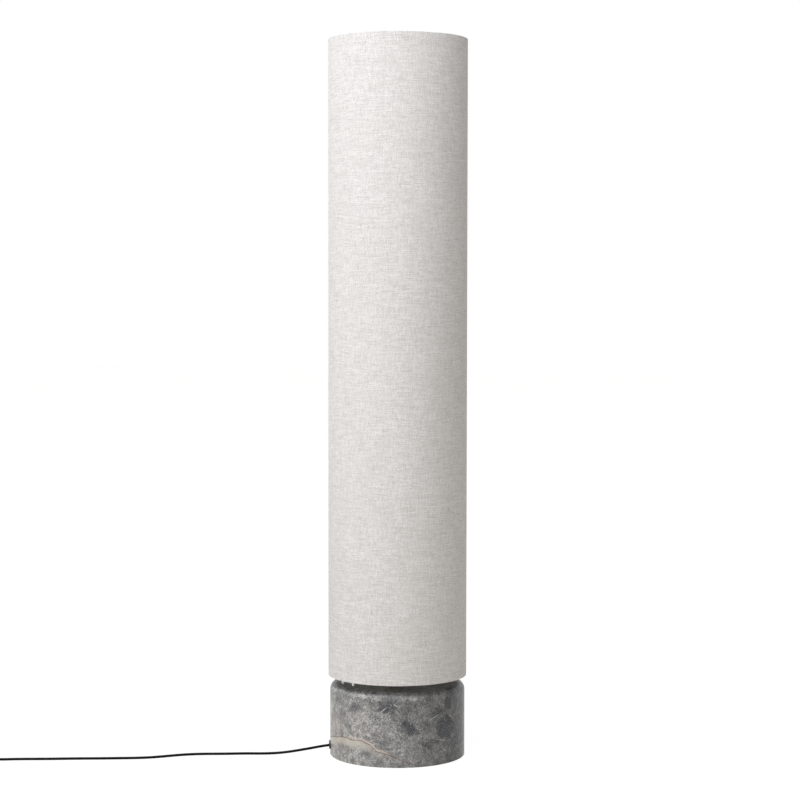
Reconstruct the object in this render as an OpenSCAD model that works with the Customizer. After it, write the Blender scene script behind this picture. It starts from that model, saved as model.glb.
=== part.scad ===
/* [Overall] */
// Height from the floor to the rim of the shade
total_h = 1200; // [900:10:1600]
// Diameter of the stone base
base_d = 227; // [206:1:270]
// Height of the stone's top face above the floor
base_h = 125; // [105:1:160]
// Outer diameter of the fabric shade
shade_d = 232.5; // [215:0.5:290]
// Open gap between the stone and the lower edge of the shade
shade_gap = 12; // [8:1:25]

/* [Stone base] */
// Radius of the rounded upper edge
stone_fillet = 13; // [3:1:18]
// Width of the small bevel along the lower edge
stone_bevel = 1; // [0.5:0.5:3]
// Diameter of the wiring pocket in the underside
pocket_d = 140; // [120:2:150]
// Depth of the wiring pocket
pocket_h = 62; // [50:1:75]
// Thickness of the felt ring
felt_t = 1.2; // [1:0.2:4]
// Thickness of the steel cover under the pocket
cover_t = 2; // [1:0.5:3]
// How far the cover laps over the stone around the pocket
cover_lap = 10; // [8:1:11]

/* [Pole] */
// Outer diameter of the steel pole
pole_d = 16; // [14:0.5:20]
// Wall of the pole
pole_wall = 1.5; // [1:0.25:2]
// Outer diameter of the threaded nipple that ties the pole to the stone
nipple_d = 10; // [9:0.5:12]
// Diameter of the foot flange on the stone
foot_d = 64; // [45:1:80]
// Thickness of the foot flange
foot_t = 5; // [4:0.5:7]
// Height of the foot's socket above the stone
foot_h = 16; // [12:1:20]

/* [Shade] */
// Thickness of the woven fabric
fabric_t = 0.8; // [0.5:0.1:1.5]
// Thickness of the translucent liner behind the fabric
liner_t = 0.8; // [0.5:0.1:1.5]
// Diameter of the steel wire in both rings
ring_wire = 3; // [2:0.5:5]
// Drop of the spider's hub below the rim
hub_drop = 26; // [24:1:45]
// Diameter of the spider's arm wire
arm_wire = 2.4; // [2:0.2:2.8]

/* [Lampholders and bulbs] */
// Distance of each bulb from the axis of the pole
bulb_offset = 46; // [44:1:60]
// Diameter of the bulb's globe
bulb_d = 60; // [45:1:62]
// Length of the bulb above the edge of its holder
bulb_len = 84; // [70:1:100]

/* [Mains cord] */
// Diameter of the cord
cord_d = 4.4; // [4:0.2:5]
// Height of the gland's centre above the floor
gland_z = 18.3; // [15:0.1:25]
// Diameter of the gland's round flange
gland_d = 14.6; // [13:0.2:20]
// Thickness of the gland's flange
gland_lip = 2; // [1.5:0.5:4]
// Direction in which the cord leaves the base, in degrees
cord_azimuth = 186; // [180:1:190]

/* [Foot switch] */
// Diameter of the foot switch
switch_d = 60; // [56:1:70]
// Height of its cover
switch_h = 20; // [18:0.5:28]
// Diameter of its button
button_d = 26; // [20:1:30]
// Travel of its button
button_travel = 3; // [2:0.5:4]

/* [Plug] */
// Length of the plug's body
plug_len = 36; // [32:1:45]
// Width of the plug's body
plug_w = 26; // [25:1:32]
// Thickness of the plug's body
plug_t = 13.8; // [12:0.2:16]
// Diameter of each pin
pin_d = 4; // [3.8:0.1:4.8]
// Free length of each pin
pin_len = 19; // [17:0.5:22]
// Distance between the pins
pin_pitch = 18.6; // [17:0.2:19]

/* [Hidden] */

$fn = 96;
eps = 0.01;     // overshoot of a cut past a face
fit = 0.1;      // radial clearance of a shaft in its hole
slack = 0.3;    // clearance of pieces that only lie close together

// Heights of the stone and of the shade
stone_z = felt_t;
shade_z = base_h + shade_gap;
shade_h = total_h - shade_z;

// Radii of the stone's underside
stone_r = base_d / 2;
pocket_r = pocket_d / 2;
pocket_top = stone_z + pocket_h;
cover_r = pocket_r + cover_lap;
cover_seat = cover_t + 0.5;     // depth of the recess that takes the cover
felt_r_out = stone_r - 6;
felt_r_in = cover_r + 2;
cover_screw_r = pocket_r + cover_lap / 2;
cover_screw_count = 4;
cover_screw_d = 3;
cover_head_t = 0.8;
insert_d = 5;
insert_len = 10;

// Pole and foot
pole_r = pole_d / 2;
pole_bore_r = pole_r - pole_wall;
foot_wall = 4;
foot_bevel = 1;
foot_floor = 4;                 // floor of the socket, above the stone
pole_z = base_h + foot_floor;
nipple_bore = nipple_d - 3;
stone_bore_r = nipple_d / 2 + 1;
nut_w = nipple_d * 1.8;         // across the corners of the nut
nut_t = 5;
washer_r = nipple_d * 1.7;
washer_t = 2.5;

// Top of the pole: cap, hub of the spider, washer and finial
rim_clear = 1;                  // the finial stays this far below the rim
hub_t = 3;
hub_z = total_h - hub_drop;     // underside of the hub
hub_r = 14;
stud_r = 4;
finial_r = 9;
finial_bevel = 2;
knurl_count = 24;
washer_top_t = 1.5;
washer_top_r = 10;
cap_flange_t = 3;
cap_plug_len = 14;
finial_z = hub_z + hub_t + washer_top_t;
finial_h = total_h - rim_clear - finial_z;
pole_top = hub_z - cap_flange_t;

// Shade rings
fabric_r = shade_d / 2;
liner_r = fabric_r - fabric_t - fit / 2;
ring_r = liner_r - liner_t - fit / 2 - ring_wire / 2;
ring_edge = ring_wire / 2 + 0.2;    // centre of a ring from the shade's edge

// Carrier that keeps the lower edge of the shade centred
carrier_z = base_h + foot_h;
carrier_hub_h = 10;
carrier_t = 2;
arm_w = 8;
peg_d = 4.5;
peg_r = ring_r - ring_wire / 2 - peg_d / 2 - 0.5;
peg_spread = 7;                 // degrees from the arm to each of its two pegs
peg_drop = shade_gap / 2 - 0.3; // how far a peg reaches below the shade's edge
carrier_azimuth = 221;          // first arm, anticlockwise from +X
grub_d = 4;

// Lampholders: bracket, shell and thread
levels = [0, 1, 2];
bulb_azimuths = [90, 210, 330];
bracket_t = 2;
bracket_w = 20;
bracket_h = 34;
bracket_screw_d = 4;
shell_r = 17;
shell_h = 38;
shell_taper = [4, 6];           // the cup's lower edge: step in radius and height
stem_len = 4;                   // the stem's reach below the shelf
thread_r = 13.25;
thread_t = 0.6;
thread_h = 22;
shell_floor = 9;
cap_r = thread_r - 0.25;
contact_h = 1.5;
lead_d = 2.4;
lead_z = bracket_t + 6;         // height of a lead above the underside of its bracket
slot_w = 5;                     // opening in the pole for a lead
back_t = 5;                     // bracket's upright, measured from the pole
screw_z = bracket_h - 10;
cap_bottom = bracket_t + shell_floor + contact_h + slack;
collar_z = bracket_t + shell_h + slack;
deck_r = bulb_d * 0.475;        // edge of the deck that carries the globe
globe_rise = 6;                 // height of the globe's widest circle above the deck
housing_h = bulb_len - bulb_d / 2 - globe_rise;
bulb_pitch = shade_h / len(levels);
bulb_low = shade_z + bulb_pitch / 2 - collar_z - bulb_len / 2;

// Gland, in the direction in which the cord leaves
gland_in_r = 4.6;               // neck through the stone
gland_bore_r = cord_d / 2 + 1.1;
cord_in_z = gland_z - 1;        // the cord rests on the floor of the bore
gland_face = stone_r + gland_lip;
gland_nut_t = 4;
gland_nut_w = 17;
gland_start = pocket_r - gland_nut_t - 3;   // inner end of the neck

// Clamp and terminal block in the pocket
cover_top = stone_z + cover_seat;
clamp_u = 48;                   // distance from the axis to the clamp
clamp_roof = 3;                 // material over the cord
clamp = [10, 22, cord_in_z - cover_top + cord_d / 2 + clamp_roof];
clamp_screw_y = 7;
clamp_floor = 2;                // material under the screw holes
block_u = 22;                   // distance from the axis to the terminal block
block = [16, 26, cord_in_z - cover_top + 6];
lane_pitch = 8;                 // distance between the terminals
terminal_screw_d = 3;

// Foot switch
switch_r = switch_d / 2;
switch_x = -730;
switch_y = -60;
switch_base_t = 3;
switch_wall = 2.2;
switch_round = 8;
boot_len = 20;
pillar_r = switch_r - 9;        // circle of the two screws
pillar_d = 6.5;
cord_entry_z = 7.5;
button_rise = button_travel + 2;
button_flange = 2.5;
button_low = switch_h - switch_wall - button_flange - 0.1;
button_bore_r = 7.5;
spring_r = 6.8;
spring_wire = 0.8;

// Coil: layers of turns of the unseen length, held by a tie
tie_t = 0.6;
tie_w = 12;
coil_turns = 3.5;               // turns in each layer
coil_layers = 2;
coil_mean_r = 25;
coil_x = -862;
coil_y = switch_y - coil_mean_r - coil_turns * cord_d / 2;
coil_in_r = coil_mean_r - (coil_turns + 1) * cord_d / 2;
coil_out_r = coil_mean_r + (coil_turns + 1) * cord_d / 2;
coil_h = coil_layers * cord_d;
coil_z = tie_t + 0.05;

// Plug, lying flat beside the coil with its pins towards +X
plug_boot_len = 22;
plug_x = -779 + plug_boot_len;
plug_y = -128;
plug_z = plug_t / 2;
pin_root = 12;                  // depth of a pin in the body

// Route of the cord from the gland to the foot switch, on the floor from -232 on
lamp_route = [
    [gland_face * cos(cord_azimuth), gland_face * sin(cord_azimuth), cord_in_z],
    [-130, -12.2, 15], [-147, -12.2, 11.8], [-164, -12, 8.8], [-181, -11.8, 6],
    [-198, -11.3, 3.9], [-215, -10.5, 2.7], [-232, -10, 2.25], [-250, -9.7, 2.25],
    [-268, -10.6, 2.25], [-285, -12, 2.25], [-301, -12.8, 2.25], [-318, -13.2, 2.25],
    [-334, -14.4, 2.25], [-350, -17.2, 2.25], [-366, -22, 2.25], [-382, -28.4, 2.25],
    [-398, -35.2, 2.25], [-414, -40.6, 2.25], [-431, -44, 2.25], [-448, -45.6, 2.25],
    [-466, -46.8, 2.25], [-484, -47.9, 2.25], [-502, -48.7, 2.25], [-520, -49.2, 2.25],
    [-540, -50, 2.25], [-560, -51.3, 2.25], [-580, -52.5, 2.25], [-600, -53.1, 2.25],
    [-620, -53.7, 2.25], [-640, -54.9, 2.25], [-655, -56.5, 2.25], [-664, -57.7, 2.8], [-672, -59, 5.2],
    [switch_x + switch_r + boot_len, switch_y, cord_entry_z],
];

// Route from the foot switch to the coil
supply_route = [
    [switch_x - switch_r - boot_len, switch_y, cord_entry_z],
    [-789, -60, 6.2], [-799, -60, 4], [-810, -60, 3], [-823, -60, 2.85], [-837, -60, 2.85],
    [-850, -60, 2.85],
];

// Route from the coil to the plug
plug_route = [
    [-850, -125.4, 7.25], [-842, -125.5, 6.3], [-832, -125.7, 4.2], [-822, -126.1, 2.8],
    [-812, -126.8, 2.3], [-803, -127.4, 2.6], [-795, -127.8, 4], [-787, -128, 6.1],
    [plug_x - plug_boot_len, plug_y, plug_z],
];

// ---------------------------------------------------------------- helpers

function unit(v) = v / norm(v);

// Point at parameter t between b and c of a smooth curve through a, b, c and d
function smooth_point(a, b, c, d, t) =
    0.5 * (2 * b + (c - a) * t + (2 * a - 5 * b + 4 * c - d) * t * t
    + (3 * b - a - 3 * c + d) * t * t * t);

// The route with one more point midway along each stretch
function smooth_route(p, steps = 2) = let (n = len(p) - 1) concat(
    [for (i = [0:n - 1]) for (s = [0:steps - 1])
        smooth_point(p[max(i - 1, 0)], p[i], p[i + 1], p[min(i + 2, n)], s / steps)],
    [p[n]]);

// Tube of diameter d with the given number of sides, swept along route p
module swept_tube(p, d, sides = 8, up = [0, 0, 1]) {
    n = len(p);
    rings = [for (i = [0:n - 1])
        let (
            t = unit(p[min(i + 1, n - 1)] - p[max(i - 1, 0)]),
            side = unit(cross(t, up)),
            top = cross(side, t)
        )
        for (k = [0:sides - 1])
            p[i] + d / 2 * (cos(360 * k / sides) * side + sin(360 * k / sides) * top)
    ];
    walls = [for (i = [0:n - 2]) for (k = [0:sides - 1])
        [i * sides + k, i * sides + (k + 1) % sides,
         (i + 1) * sides + (k + 1) % sides, (i + 1) * sides + k]];
    ends = [[for (k = [sides - 1:-1:0]) k], [for (k = [0:sides - 1]) (n - 1) * sides + k]];
    polyhedron(rings, concat(walls, ends), convexity = 10);
}

// Hollow cylinder that stands on the plane z = 0
module tube(r_out, r_in, h) {
    difference() {
        cylinder(r = r_out, h = h);
        translate([0, 0, -eps]) cylinder(r = r_in, h = h + 2 * eps);
    }
}

// Places its children with +Z along the direction of the cord, at distance u
module along_cord(u, z) {
    rotate([0, 0, cord_azimuth]) translate([u, 0, z]) rotate([0, 90, 0]) children();
}

// Places its children at lampholder i, with +X away from the pole
module at_level(i) {
    rotate([0, 0, bulb_azimuths[i]]) translate([0, 0, bulb_low + i * bulb_pitch]) children();
}

// Places copies of its children evenly round the axis
module around(count, r, start = 0) {
    for (i = [0:count - 1]) rotate([0, 0, start + 360 * i / count]) translate([r, 0, 0]) children();
}

// Countersunk or cheese-headed screw that hangs from the plane z = 0
module screw(d, len, head_d, head_t) {
    union() {
        translate([0, 0, -len]) cylinder(d = d, h = len);
        difference() {
            cylinder(d = head_d, h = head_t);
            translate([-head_d / 2, -d / 8, head_t - d / 6]) cube([head_d, d / 4, d]);
        }
    }
}

// ---------------------------------------------------------------- stone base

// Turned and polished block with a pocket for the wiring, on a felt ring
module stone_base() {
    color("dimgray")
    difference() {
        rotate_extrude() difference() {
            union() {
                polygon([
                    [0, stone_z], [stone_r - stone_bevel, stone_z],
                    [stone_r, stone_z + stone_bevel], [stone_r, base_h - stone_fillet],
                    [stone_r - stone_fillet, base_h - stone_fillet],
                    [stone_r - stone_fillet, base_h], [0, base_h],
                ]);
                intersection() {
                    translate([stone_r - stone_fillet, base_h - stone_fillet])
                        circle(r = stone_fillet);
                    translate([stone_r - stone_fillet - eps, base_h - stone_fillet - eps])
                        square(stone_fillet + 2 * eps);
                }
            }
            translate([-1, stone_z - eps]) square([cover_r + fit + 1, cover_seat + eps]);
            translate([-1, stone_z]) square([pocket_r + 1, pocket_h]);
            translate([-1, stone_z]) square([stone_bore_r + 1, base_h]);
        }
        along_cord(pocket_r - 10, gland_z) cylinder(r = gland_in_r + fit, h = stone_r);
        around(cover_screw_count, cover_screw_r, 45)
            translate([0, 0, stone_z]) cylinder(d = insert_d, h = cover_seat + insert_len);
    }
}

module felt_ring() {
    color("black")
    rotate_extrude() translate([felt_r_in, 0]) square([felt_r_out - felt_r_in, felt_t]);
}

// Steel disc that closes the pocket, let into the stone
module bottom_cover() {
    color("silver")
    translate([0, 0, cover_top - cover_t]) difference() {
        cylinder(r = cover_r - fit, h = cover_t);
        around(cover_screw_count, cover_screw_r, 45)
            translate([0, 0, -eps]) cylinder(d = cover_screw_d + 2 * fit, h = cover_t + 2 * eps);
    }
}

module cover_screws() {
    color("gray")
    around(cover_screw_count, cover_screw_r, 45)
        translate([0, 0, cover_top - cover_t]) mirror([0, 0, 1])
            screw(cover_screw_d, cover_t + insert_len - 1, cover_screw_d * 2, cover_head_t);
}

module cover_inserts() {
    color("gold")
    around(cover_screw_count, cover_screw_r, 45)
        translate([0, 0, cover_top]) tube(insert_d / 2 - fit / 2, cover_screw_d / 2 + fit / 2, insert_len - 0.5);
}

// ---------------------------------------------------------------- pole

// Threaded nipple through the stone; the leads pass up its bore
module pole_nipple() {
    color("silver")
    translate([0, 0, pocket_top - washer_t - nut_t - 3])
        tube(nipple_d / 2, nipple_bore / 2, base_h + foot_floor - pocket_top + washer_t + nut_t + 3);
}

module nipple_nut() {
    color("silver")
    translate([0, 0, pocket_top - washer_t - nut_t]) difference() {
        cylinder(d = nut_w, h = nut_t, $fn = 6);
        translate([0, 0, -eps]) cylinder(r = nipple_d / 2 + fit / 2, h = nut_t + 2 * eps);
    }
}

module nipple_washer() {
    color("gainsboro")
    translate([0, 0, pocket_top - washer_t]) tube(washer_r, nipple_d / 2 + fit, washer_t);
}

// Flange with a socket that takes the lower end of the pole
module pole_foot() {
    color("dimgray")
    translate([0, 0, base_h]) difference() {
        union() {
            cylinder(d = foot_d, h = foot_t - foot_bevel);
            translate([0, 0, foot_t - foot_bevel])
                cylinder(d1 = foot_d, d2 = foot_d - 2 * foot_bevel, h = foot_bevel);
            cylinder(r = pole_r + foot_wall, h = foot_h);
        }
        translate([0, 0, foot_floor]) cylinder(r = pole_r + fit, h = foot_h);
        translate([0, 0, -eps]) cylinder(r = nipple_d / 2 + fit / 2, h = foot_t + 1);
        rotate([0, 0, carrier_azimuth + 90]) translate([pole_r - 2, 0, foot_t + (foot_h - foot_t) / 2])
            rotate([0, 90, 0]) cylinder(d = grub_d + fit, h = foot_wall + 6);
    }
}

module pole() {
    color("gainsboro")
    difference() {
        translate([0, 0, pole_z]) tube(pole_r, pole_bore_r, pole_top - pole_z);
        for (i = levels) at_level(i) {
            translate([0, 0, lead_z]) rotate([0, 90, 0]) cylinder(d = slot_w, h = pole_r + 1);
            translate([0, 0, screw_z]) rotate([0, 90, 0])
                cylinder(d = bracket_screw_d + fit, h = pole_r + 1);
        }
    }
}

// Plug in the pole's upper end, with a shoulder and a stud for the shade
module pole_cap() {
    color("silver")
    union() {
        translate([0, 0, pole_top - cap_plug_len]) cylinder(r = pole_bore_r - fit / 2, h = cap_plug_len + eps);
        translate([0, 0, pole_top]) cylinder(r = pole_r, h = cap_flange_t);
        translate([0, 0, pole_top + cap_flange_t - eps])
            cylinder(r = stud_r, h = finial_z + finial_h * 0.6 - pole_top - cap_flange_t);
    }
}

// ---------------------------------------------------------------- cord entry and wiring

// Flanged bush in the side of the stone
module cable_gland() {
    color("dimgray")
    difference() {
        union() {
            along_cord(gland_start, gland_z) cylinder(r = gland_in_r, h = stone_r + 1 - gland_start);
            along_cord(stone_r - 1, gland_z) cylinder(d = gland_d, h = gland_lip + 1);
        }
        difference() {
            translate([0, 0, gland_z - gland_d]) cylinder(r = stone_r + fit / 2, h = 2 * gland_d);
            along_cord(gland_start - 1, gland_z) cylinder(r = gland_in_r + eps, h = stone_r);
        }
        along_cord(gland_start - 1, gland_z) cylinder(r = gland_bore_r, h = stone_r);
    }
}

module gland_nut() {
    color("gray")
    difference() {
        along_cord(pocket_r - gland_nut_t - 1.1, gland_z) cylinder(d = gland_nut_w, h = gland_nut_t, $fn = 6);
        along_cord(pocket_r - gland_nut_t - 2, gland_z) cylinder(r = gland_in_r + fit / 2, h = gland_nut_t + 2);
    }
}

// Saddle that holds the cord against a pull
module cord_clamp() {
    color("whitesmoke")
    rotate([0, 0, cord_azimuth]) translate([clamp_u, 0, cover_top]) difference() {
        translate([-clamp[0] / 2, -clamp[1] / 2, 0]) cube(clamp);
        translate([-clamp[0], 0, cord_in_z - cover_top]) rotate([0, 90, 0])
            cylinder(r = cord_d / 2 + fit / 2, h = 2 * clamp[0]);
        for (s = [-1, 1]) translate([0, s * clamp_screw_y, clamp_floor])
            cylinder(d = cover_screw_d + fit, h = clamp[2]);
    }
}

module clamp_screws() {
    color("silver")
    rotate([0, 0, cord_azimuth])
        for (s = [-1, 1]) translate([clamp_u, s * clamp_screw_y, cover_top + clamp[2]])
            screw(cover_screw_d, clamp[2] - clamp_floor - 1, cover_screw_d * 1.9, 2);
}

module terminal_block() {
    color("whitesmoke")
    rotate([0, 0, cord_azimuth]) translate([block_u, 0, cover_top]) difference() {
        translate([-block[0] / 2, -block[1] / 2, 0]) cube(block);
        for (s = [-1, 0, 1]) translate([0, s * lane_pitch, cord_in_z - cover_top]) {
            translate([-block[0], 0, 0]) rotate([0, 90, 0]) cylinder(d = cord_d + 2 * fit, h = 2 * block[0]);
            cylinder(d = terminal_screw_d + 4 * fit, h = block[2]);
        }
    }
}

module terminal_screws() {
    color("silver")
    rotate([0, 0, cord_azimuth])
        for (s = [-1, 0, 1]) translate([block_u, s * lane_pitch, cord_in_z + cord_d / 2 + 0.2])
            cylinder(d = terminal_screw_d, h = 3);
}

// Mains cord from the gland through the clamp to the terminal block
module base_cord() {
    color("black")
    along_cord(block_u - 4, cord_in_z) cylinder(d = cord_d, h = gland_face - block_u + 4);
}

// Thin twin lead from the terminal block up the bore to lampholder i
module lead(i) {
    a = bulb_azimuths[i];
    lane = (i - 1) * lane_pitch;            // its way through the terminal block
    top = bulb_low + i * bulb_pitch + lead_z;
    shell = bulb_offset - shell_r;
    r = nipple_bore / 2 - lead_d / 2 - slack;
    out = [cos(a), sin(a), 0];
    along = [cos(cord_azimuth), sin(cord_azimuth), 0];
    across = [-sin(cord_azimuth), cos(cord_azimuth), 0];
    function at_out(u, z) = u * out + [0, 0, z];
    function in_pocket(u, z) = u * along + lane * across + [0, 0, z];
    block_face = block_u - block[0] / 2;
    route = [
        in_pocket(block_face + 3, cord_in_z), in_pocket(block_face - 2, cord_in_z),
        in_pocket(block_face - 6, cord_in_z + 2), at_out(1.6 * r, cord_in_z + 14),
        at_out(r, pocket_top - washer_t - nut_t - 8), at_out(r, base_h),
        at_out(r, (base_h + top) / 2), at_out(r, top - 8), at_out(r + 1.6, top - 2),
        at_out(pole_r, top), at_out((pole_r + shell) / 2, top - 0.6),
        at_out(shell, top), at_out(shell + 8, top),
    ];
    color("white") swept_tube(smooth_route(route), lead_d, 6, [-sin(a), cos(a), 0.3]);
}
module lead_1() { lead(0); }
module lead_2() { lead(1); }
module lead_3() { lead(2); }

// ---------------------------------------------------------------- carrier of the shade's lower edge

// Hub on the pole with two flat arms that end in cross bars
module shade_carrier() {
    color("dimgray")
    translate([0, 0, carrier_z]) difference() {
        union() {
            cylinder(r = pole_r + foot_wall, h = carrier_hub_h);
            for (a = [0, 180]) rotate([0, 0, carrier_azimuth + a]) {
                translate([pole_r + 1, -arm_w / 2, 0]) cube([peg_r - pole_r - 3, arm_w, carrier_t]);
                intersection() {
                    tube(peg_r + peg_d / 2, peg_r - peg_d, carrier_t);
                    translate([peg_r - 30, -18, 0]) cube([40, 36, carrier_t]);
                }
            }
        }
        translate([0, 0, -eps]) cylinder(r = pole_r + fit, h = carrier_hub_h + 1);
        for (a = [0, 180], s = [-1, 1]) rotate([0, 0, carrier_azimuth + a + s * peg_spread])
            translate([peg_r, 0, -eps]) cylinder(d = peg_d - 1.5, h = carrier_t + 1);
        rotate([0, 0, carrier_azimuth + 90]) translate([pole_r - 2, 0, carrier_hub_h / 2 + 1])
            rotate([0, 90, 0]) cylinder(d = grub_d + fit, h = foot_wall + 6);
    }
}

// White nylon pegs that stand just inside the lower ring
module carrier_pegs() {
    color("white")
    for (a = [0, 180], s = [-1, 1]) rotate([0, 0, carrier_azimuth + a + s * peg_spread])
        translate([peg_r, 0, shade_z - peg_drop]) union() {
            cylinder(d1 = peg_d - 1, d2 = peg_d, h = 1);
            translate([0, 0, 1]) cylinder(d = peg_d, h = carrier_z - shade_z + peg_drop - 1);
            translate([0, 0, 1]) cylinder(d = peg_d - 1.6, h = carrier_z - shade_z + peg_drop + carrier_t);
        }
}

// Grub screws of the foot and of the carrier
module grub_screws() {
    color("gray")
    for (z = [base_h + foot_t + (foot_h - foot_t) / 2, carrier_z + carrier_hub_h / 2 + 1])
        rotate([0, 0, carrier_azimuth + 90]) translate([pole_r, 0, z])
            rotate([0, 90, 0]) cylinder(d = grub_d, h = foot_wall + 0.5);
}

// ---------------------------------------------------------------- lampholders

// Steel angle on the pole that carries the holder on its shelf
module bracket(i) {
    color("silver")
    at_level(i) difference() {
        union() {
            translate([pole_r, -bracket_w / 2, 0]) cube([back_t, bracket_w, bracket_h]);
            translate([pole_r, -bracket_w / 2, 0])
                cube([bulb_offset - pole_r, bracket_w, bracket_t]);
            translate([bulb_offset, 0, 0]) cylinder(d = bracket_w, h = bracket_t);
        }
        translate([0, 0, -eps]) cylinder(r = pole_r + fit / 2, h = bracket_h + 1);
        translate([bulb_offset, 0, -eps]) cylinder(d = nipple_d + 2 * fit, h = bracket_t + 1);
        translate([pole_r - 1, 0, lead_z]) rotate([0, 90, 0]) cylinder(d = slot_w, h = 2 * back_t);
        translate([pole_r - 1, 0, screw_z]) rotate([0, 90, 0])
            cylinder(d = bracket_screw_d + fit, h = 2 * back_t);
    }
}
module bracket_1() { bracket(0); }
module bracket_2() { bracket(1); }
module bracket_3() { bracket(2); }

module bracket_screws() {
    color("gray")
    for (i = levels) at_level(i) translate([pole_r + back_t, 0, screw_z]) rotate([0, 90, 0])
        screw(bracket_screw_d, back_t + pole_wall + 1, bracket_screw_d * 1.8, 2);
}

// Moulded cup of the lampholder, with a hollow stem through the shelf
module holder_shell(i) {
    color("whitesmoke")
    at_level(i) translate([bulb_offset, 0, bracket_t]) difference() {
        union() {
            cylinder(r1 = shell_r - shell_taper[0], r2 = shell_r, h = shell_taper[1]);
            translate([0, 0, shell_taper[1]]) cylinder(r = shell_r, h = shell_h - shell_taper[1]);
            translate([0, 0, -bracket_t - stem_len]) cylinder(d = nipple_d, h = bracket_t + stem_len + 1);
        }
        translate([0, 0, shell_floor]) cylinder(r = thread_r + thread_t + fit / 2, h = shell_h);
        translate([0, 0, -bracket_t - stem_len - 1])
            cylinder(d = nipple_d - 4, h = bracket_t + shell_floor + stem_len - 0.5);
        translate([0, 0, lead_z - bracket_t]) rotate([0, -90, 0]) cylinder(d = lead_d + 2 * fit, h = shell_r + 1);
    }
}
module holder_1_shell() { holder_shell(0); }
module holder_2_shell() { holder_shell(1); }
module holder_3_shell() { holder_shell(2); }

// Screw shell and centre contact
module holder_contacts(i) {
    color("gold")
    at_level(i) translate([bulb_offset, 0, bracket_t + shell_floor]) {
        translate([0, 0, shell_h - shell_floor - thread_h - 2]) tube(thread_r + thread_t, thread_r, thread_h);
        translate([-4, -2.5, 0]) cube([8, 5, contact_h]);
    }
}
module holder_1_contacts() { holder_contacts(0); }
module holder_2_contacts() { holder_contacts(1); }
module holder_3_contacts() { holder_contacts(2); }

// ---------------------------------------------------------------- bulbs

// Screw cap with its insulated tip
module bulb_cap(i) {
    color("silver")
    at_level(i) translate([bulb_offset, 0, cap_bottom]) union() {
        cylinder(r1 = 4, r2 = 5, h = 2);
        translate([0, 0, 2 - eps]) cylinder(r1 = 6, r2 = cap_r, h = 3);
        translate([0, 0, 5 - 2 * eps]) cylinder(r = cap_r, h = collar_z - cap_bottom - 5 + 2 * eps);
    }
}
module bulb_1_cap() { bulb_cap(0); }
module bulb_2_cap() { bulb_cap(1); }
module bulb_3_cap() { bulb_cap(2); }

module bulb_housing(i) {
    color("white")
    at_level(i) translate([bulb_offset, 0, collar_z]) rotate_extrude()
        polygon([
            [0, 0], [cap_r + 0.8, 0], [cap_r + 1.4, 4], [bulb_d * 0.3, housing_h * 0.45],
            [bulb_d * 0.43, housing_h * 0.8], [deck_r, housing_h], [0, housing_h],
        ]);
}
module bulb_1_housing() { bulb_housing(0); }
module bulb_2_housing() { bulb_housing(1); }
module bulb_3_housing() { bulb_housing(2); }

// Opal dome, a thin shell closed by the housing's deck
module bulb_globe(i) {
    wall = 1.2;
    color("ivory")
    at_level(i) translate([bulb_offset, 0, collar_z + housing_h]) rotate_extrude() difference() {
        union() {
            intersection() {
                translate([0, globe_rise]) circle(d = bulb_d);
                translate([0, globe_rise]) square(bulb_d);
            }
            polygon([[0, 0], [deck_r, 0], [bulb_d / 2, globe_rise], [0, globe_rise + eps]]);
        }
        intersection() {
            translate([0, globe_rise]) circle(d = bulb_d - 2 * wall);
            translate([-eps, wall]) square(bulb_d);
        }
    }
}
module bulb_1_globe() { bulb_globe(0); }
module bulb_2_globe() { bulb_globe(1); }
module bulb_3_globe() { bulb_globe(2); }

// ---------------------------------------------------------------- shade

module shade_fabric() {
    color("whitesmoke")
    translate([0, 0, shade_z]) tube(fabric_r, fabric_r - fabric_t, shade_h);
}

module shade_liner() {
    color("white")
    translate([0, 0, shade_z]) tube(liner_r, liner_r - liner_t, shade_h);
}

// Upper ring and three arms that slope down to a hub, welded together
module shade_spider() {
    ring_z = total_h - ring_edge;
    hub_mid = hub_z + hub_t / 2;
    start = hub_r - 3;
    rise = ring_z - hub_mid;
    reach = ring_r - start;
    color("silver")
    difference() {
        union() {
            translate([0, 0, ring_z]) rotate_extrude() translate([ring_r, 0]) circle(d = ring_wire);
            translate([0, 0, hub_z]) cylinder(r = hub_r, h = hub_t);
            for (a = bulb_azimuths) rotate([0, 0, a + 60]) translate([start, 0, hub_mid])
                rotate([0, atan2(reach, rise), 0]) cylinder(d = arm_wire, h = norm([reach, rise]));
        }
        translate([0, 0, hub_z - 1]) cylinder(r = stud_r + slack, h = hub_t + 2);
    }
}

module shade_bottom_ring() {
    color("silver")
    translate([0, 0, shade_z + ring_edge]) rotate_extrude() translate([ring_r, 0]) circle(d = ring_wire);
}

// Knurled nut that holds the shade down
module finial() {
    color("silver")
    translate([0, 0, finial_z]) difference() {
        union() {
            cylinder(r = finial_r, h = finial_h - finial_bevel);
            translate([0, 0, finial_h - finial_bevel])
                cylinder(r1 = finial_r, r2 = finial_r - finial_bevel, h = finial_bevel);
        }
        translate([0, 0, -eps]) cylinder(r = stud_r + 0.08, h = finial_h * 0.75);
        around(knurl_count, finial_r + 0.3) translate([0, 0, 1]) cylinder(r = 0.7, h = finial_h - finial_bevel - 2);
    }
}

module finial_washer() {
    color("silver")
    translate([0, 0, hub_z + hub_t]) tube(washer_top_r, stud_r + slack, washer_top_t - fit);
}

// ---------------------------------------------------------------- free cord

module lamp_cord() {
    color("black") swept_tube(smooth_route(lamp_route), cord_d);
}

module supply_cord() {
    color("black") {
        swept_tube(smooth_route(supply_route), cord_d);
        swept_tube(smooth_route(plug_route), cord_d);
    }
}

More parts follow.
